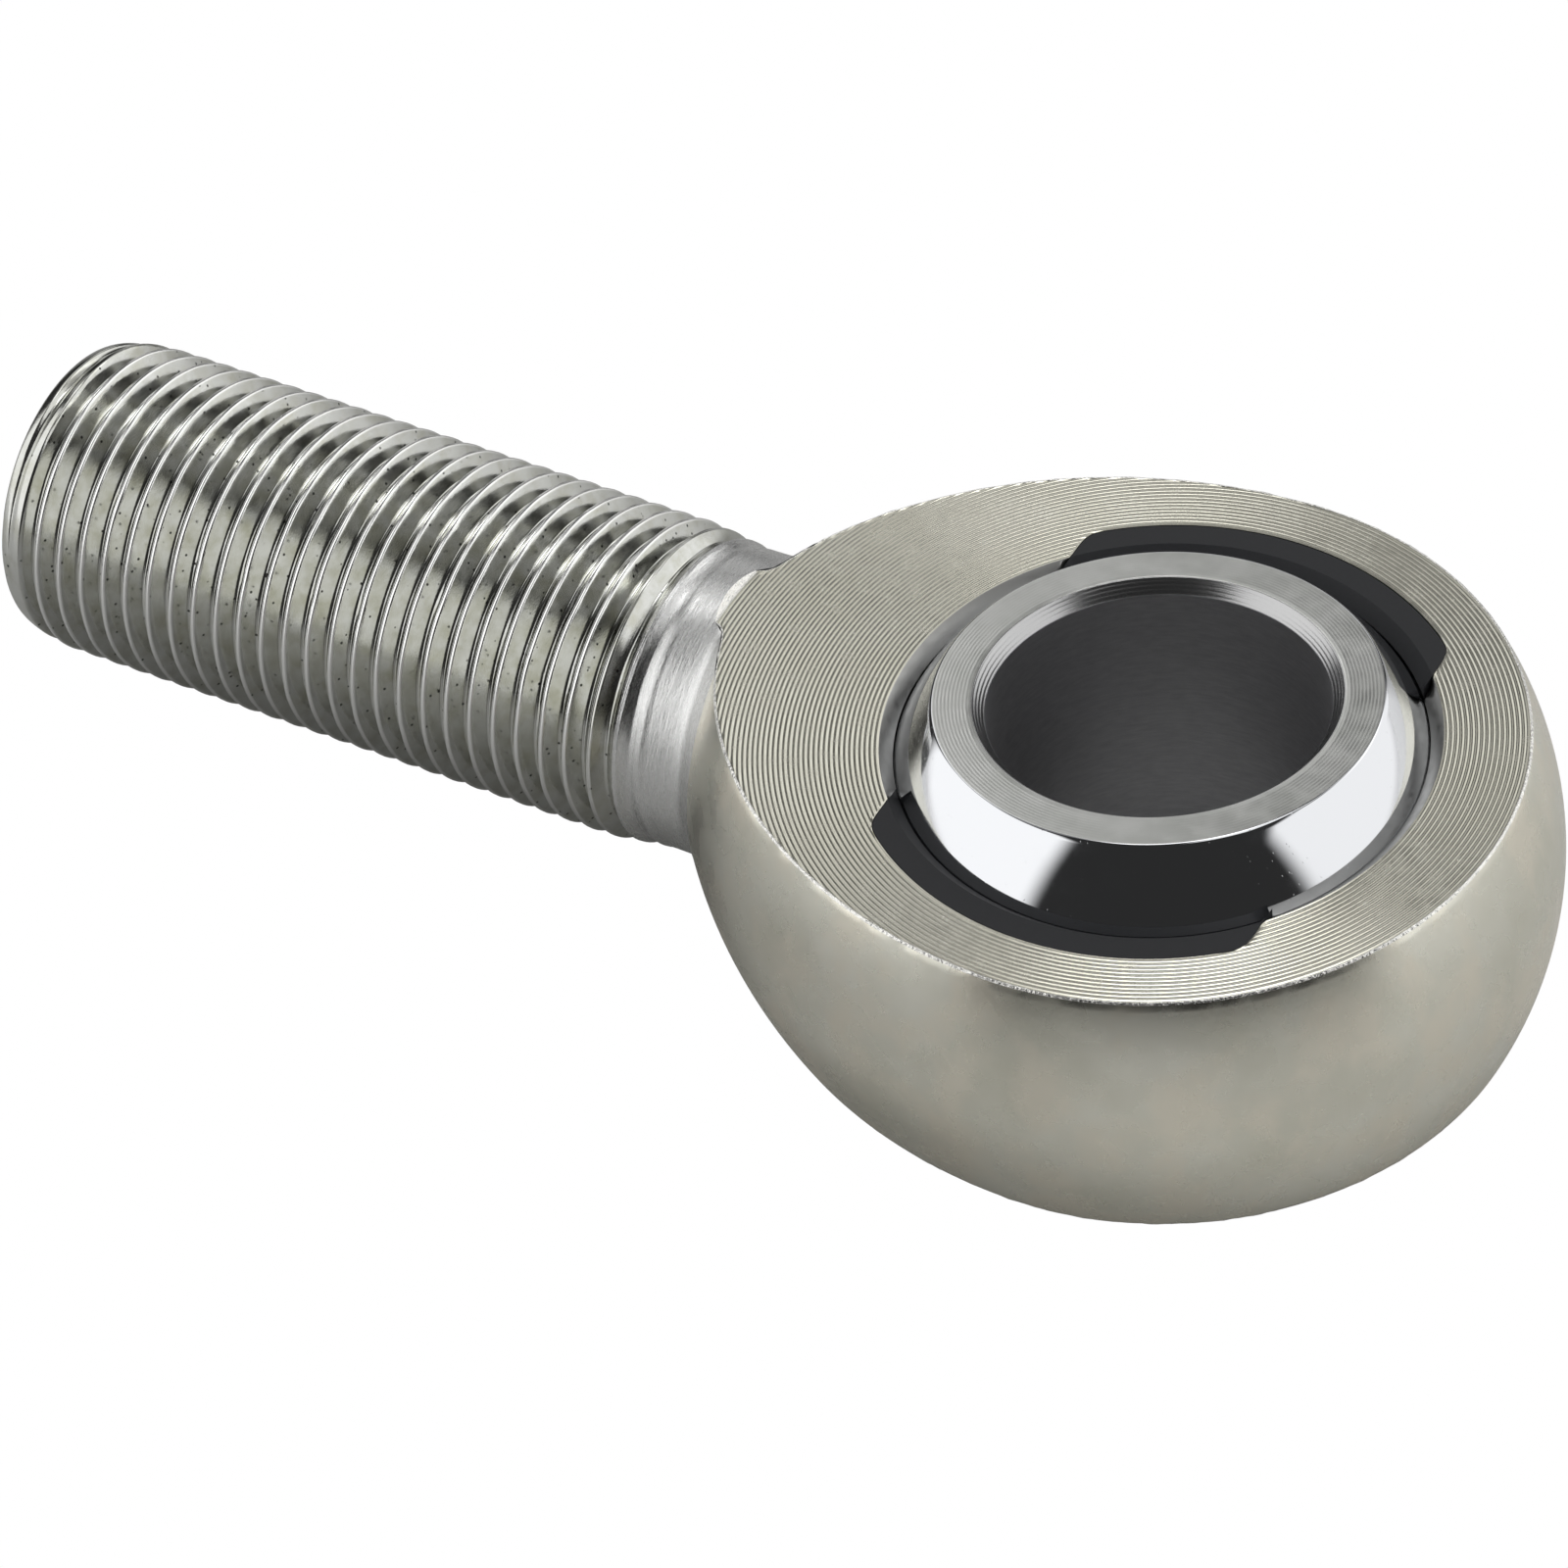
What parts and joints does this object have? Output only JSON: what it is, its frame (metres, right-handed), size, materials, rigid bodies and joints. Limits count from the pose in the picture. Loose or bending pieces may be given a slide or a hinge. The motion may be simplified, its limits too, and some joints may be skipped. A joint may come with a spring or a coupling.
{
  "type": "rod end bearing",
  "caption": "Male spherical rod end: a threaded shank with a faced, drop-shaped head around a bored ball that tilts in a moulded plastic race.",
  "frame": {"origin": "centre of the ball, on the axis of the shank and midway between the head's flat faces", "axes": "+X from the shank through the ball to the front of the head, +Z out of the head's upper face, +Y to the left of +X seen from above"},
  "size_m": [0.0951, 0.0442, 0.0238],
  "materials": {
    "plated_steel": "satin zinc plate, warm grey",
    "race_plastic": "moulded, nearly black",
    "ball_chrome": "polished sphere with dull turned faces"
  },
  "bodies": {
    "head_and_shank": {"rod_end_body": "plated_steel", "moulded_race": "race_plastic"},
    "bored_ball": {"ball": "ball_chrome"}
  },
  "joints": [
    {"name": "ball_tilt", "type": "hinge", "parent": "head_and_shank", "child": "bored_ball", "pos_m": [0, 0, 0], "axis": [1, 0, 0], "range_deg": [-9.5, 16]}
  ]
}
